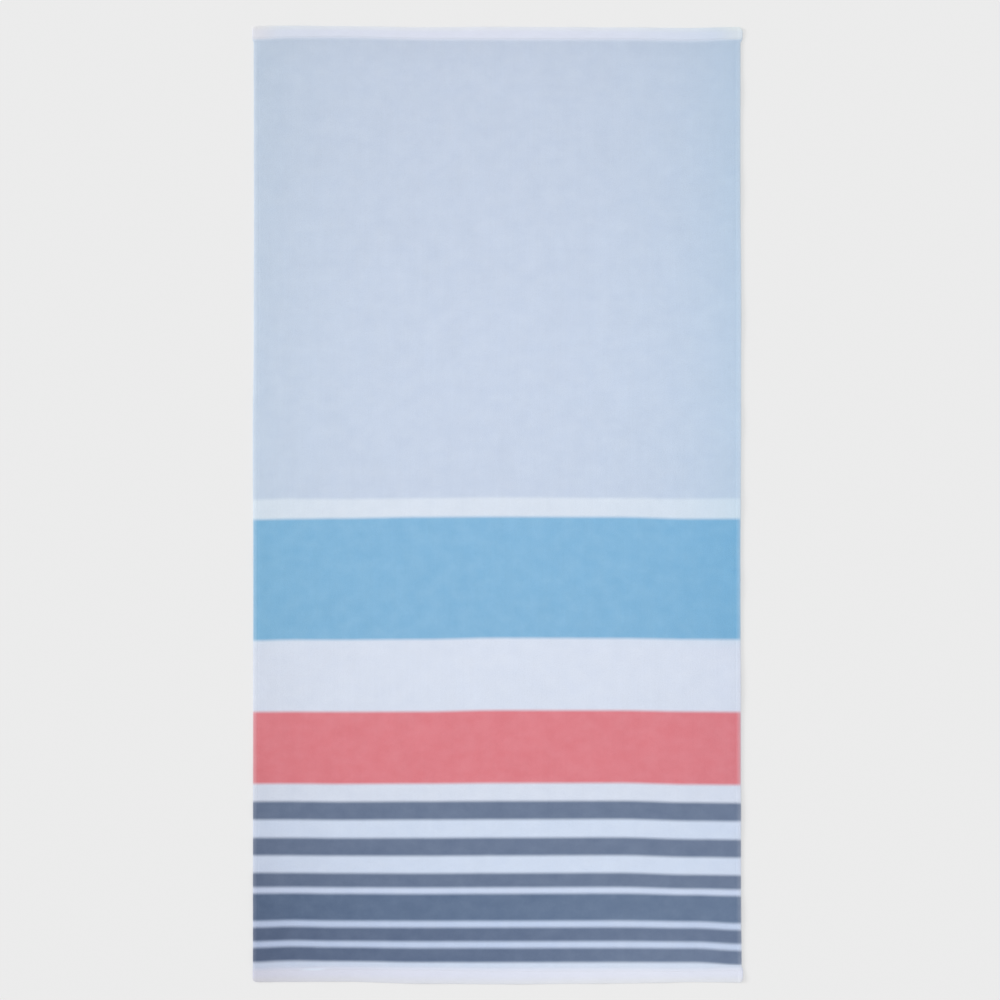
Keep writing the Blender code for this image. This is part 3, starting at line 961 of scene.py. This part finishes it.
path = get(rows, "GeometryNodeMeshToCurve", {"Mesh": given["Path"]})
path = get(rows, "GeometryNodeResampleCurve", {"Curve": path, "Length": given["Stitch"]}, mode="LENGTH")
turned = get(rows, "FunctionNodeAlignRotationToVector", {
    "Vector": get(rows, "GeometryNodeInputTangent")}, axis="X", pivot_axis="Z")
askew = put(rows, "FunctionNodeRandomValue", {
    2: times(rows, given["Wobble"], -1.0), 3: given["Wobble"], "Seed": given["Seed"]})
under = get(rows, "GeometryNodeInputNamedAttribute", {"Name": "under"}, data_type="FLOAT")
rolled = times(rows, under, math.pi)
for axis, angle in (((0.0, 0.0, 1.0), askew.outputs[1]), ((1.0, 0.0, 0.0), rolled)):
    turn = get(rows, "FunctionNodeAxisAngleToRotation", {"Axis": axis, "Angle": angle})
    turned = get(rows, "FunctionNodeRotateRotation", {"Rotation": turned, "Rotate By": turn},
                 rotation_space="LOCAL")
placed = get(rows, "GeometryNodeInstanceOnPoints", {
    "Points": path, "Instance": stitch, "Rotation": turned})
real = get(rows, "GeometryNodeRealizeInstances", {"Geometry": placed})
smooth = get(rows, "GeometryNodeSetShadeSmooth", {"Geometry": real})
painted = get(rows, "GeometryNodeSetMaterial", {"Geometry": smooth, "Material": given["Finish"]})
rows.links.new(painted, result["Stitches"])

# %% [markdown]
# ## Sewing the hems
#
# The paths lie in the grooves: two rows up the sides and two along the ends, each on the face and again
# on the underside. The end hems are folded over the side hems, so the side rows stop where they begin.

# %% Stitch paths and stitches
PATH_STEP = 0.006  # distance between the points of a path
IN_PILE, IN_WEAVE = 0.94, 0.35  # share of its thickness by which the thread sinks into each
SIDE_ROWS_START = 0.0252  # the end hems cover the side rows up to here
END_ROWS_START = 0.0030


def stitch_path(start, stop, fixed, runs_up, under):
    """Points along one row, on the face or, if under is 1, on the underside."""
    count = math.ceil((stop - start) / PATH_STEP)
    path = []
    for k in range(count + 1):
        moving = start + (stop - start) * k / count
        u, v = (fixed, moving) if runs_up else (moving, fixed)
        x, y = outline_point(u, v)
        low, high = cloth_heights(u, v)
        proud = THREAD * (0.5 - (IN_PILE if runs_up and not under else IN_WEAVE))
        path.append((x - MIDDLE_X, y - MIDDLE_Y, low - proud if under else high + proud))
    return path


def sew(name, paths):
    """Run the lockstitch tree along the paths and keep the result as a plain mesh."""
    points, edges, sides = [], [], []
    for path, under in paths:
        edges += [(len(points) + k, len(points) + k + 1) for k in range(len(path) - 1)]
        points += path
        sides += [float(under)] * len(path)
    guide = bpy.data.meshes.new(name + "_path")
    guide.from_pydata(points, edges, [])
    guide.attributes.new("under", "FLOAT", "POINT").data.foreach_set("value", sides)
    sewing = show(name + "_path", guide)
    modifier = sewing.modifiers.new("Lockstitch", "NODES")
    modifier.node_group = rows
    settings = {**STITCHING, "Finish": thread}
    for item in rows.interface.items_tree:
        if item.item_type == "SOCKET" and item.in_out == "INPUT" and item.name in settings:
            modifier[item.identifier] = settings[item.name]
    evaluated = sewing.evaluated_get(bpy.context.evaluated_depsgraph_get())
    mesh = bpy.data.meshes.new_from_object(evaluated)
    mesh.name = name
    bpy.data.objects.remove(sewing)
    print(f"{name}: {len(mesh.polygons)} faces, {len(mesh.vertices)} vertices")
    return show(name, mesh)


side_paths = [(stitch_path(SIDE_ROWS_START, LENGTH - SIDE_ROWS_START, u, True, under), under)
              for u in (SIDE_ROW, WIDTH - SIDE_ROW) for under in (0, 1)]
end_paths = [(stitch_path(END_ROWS_START, WIDTH - END_ROWS_START, v, False, under), under)
             for v in (END_ROW, LENGTH - END_ROW) for under in (0, 1)]
side_stitches = sew("side_hem_stitches", side_paths)
end_stitches = sew("end_hem_stitches", end_paths)

# %% [markdown]
# ## Floor and light
#
# The floor is pale and plain, and the world shows the camera the same grey, so no horizon appears from
# the side. The light is soft: an even sky, a wide lamp overhead, and a weak low one from the left that
# gives the thin shadow along the right edge.

# %% Floor, sky and lamps
FLOOR_GREY = 0.832
FLOOR_HALF = 60.0  # half the side of the floor
WHITE = (1.0, 1.0, 1.0, 1.0)
SKY = 0.633  # radiance of the sky
LAMPS = {  # strength; then in degrees: spread, azimuth from +X to +Y, elevation
    "overhead_softbox": (0.797, 55.0, 135.0, 80.0),
    "low_window": (1.12, 18.0, 168.0, 20.0),
}

floor_mesh = bpy.data.meshes.new("studio_floor")
floor_mesh.from_pydata(
    [(x * FLOOR_HALF, y * FLOOR_HALF, 0.0) for x, y in ((-1, -1), (1, -1), (1, 1), (-1, 1))],
    [], [(0, 1, 2, 3)])
floor = show("studio_floor", floor_mesh)
floor_paint = bpy.data.materials.new("pale floor")
floor_paint.use_nodes = True
tree = floor_paint.node_tree
tree.nodes.remove(tree.nodes["Principled BSDF"])
matt = get(tree, "BsdfDiffuse", {"Color": (FLOOR_GREY, FLOOR_GREY, FLOOR_GREY, 1.0)})
tree.links.new(matt, tree.nodes["Material Output"].inputs["Surface"])
floor_mesh.materials.append(floor_paint)

world = bpy.data.worlds.new("studio")
world.use_nodes = True
bpy.context.scene.world = world
tree = world.node_tree
tree.nodes.clear()
sky = get(tree, "Background", {"Color": WHITE, "Strength": SKY})
backdrop = get(tree, "Background", {"Color": WHITE, "Strength": FLOOR_GREY})
seen = put(tree, "LightPath").outputs["Is Camera Ray"]
both = get(tree, "MixShader", {0: seen, 1: sky, 2: backdrop})
tree.links.new(both, put(tree, "OutputWorld").inputs["Surface"])

for name, (strength, spread, azimuth, elevation) in LAMPS.items():
    light = bpy.data.lights.new(name, "SUN")
    light.energy = strength
    light.angle = math.radians(spread)
    a, e = math.radians(azimuth), math.radians(elevation)
    towards = Vector((math.cos(e) * math.cos(a), math.cos(e) * math.sin(a), math.sin(e)))
    show(name, light).rotation_euler = (-towards).to_track_quat("-Z", "Y").to_euler()
    print(f"{name}: strength {strength}, {elevation} degrees up")

# %% [markdown]
# ## Camera
#
# The camera looks straight down with a long lens. Its height follows from the scale: the picture's width
# has to cover so many metres of floor. Where the towel's middle falls in the picture gives the rest.

# %% Camera
PICTURE = 1000.0  # the picture's width and height, in pixels
METRES_PER_PIXEL = 0.0018757
TOWEL_MIDDLE = (497.1, 505.0)  # where the middle of the nominal rectangle is seen, in pixels
LENS, SENSOR = 100.0, 36.0  # millimetres

camera_data = bpy.data.cameras.new("overhead_camera")
camera_data.lens = LENS
camera_data.sensor_width = SENSOR
camera_data.clip_end = 200.0
camera = show("overhead_camera", camera_data)
camera.location = (
    (PICTURE / 2 - TOWEL_MIDDLE[0]) * METRES_PER_PIXEL - MIDDLE_X,
    (TOWEL_MIDDLE[1] - PICTURE / 2) * METRES_PER_PIXEL - MIDDLE_Y,
    PILE + PICTURE * METRES_PER_PIXEL * LENS / SENSOR,
)
bpy.context.scene.camera = camera
bpy.context.scene.view_settings.view_transform = "Standard"
bpy.context.scene.view_settings.look = "None"
print("Camera height, m:", round(camera.location.z, 3))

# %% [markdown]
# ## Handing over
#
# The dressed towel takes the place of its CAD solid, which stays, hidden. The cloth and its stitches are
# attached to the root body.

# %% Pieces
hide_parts("towel")
for piece in (towel, side_stitches, end_stitches):
    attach(piece, "root")
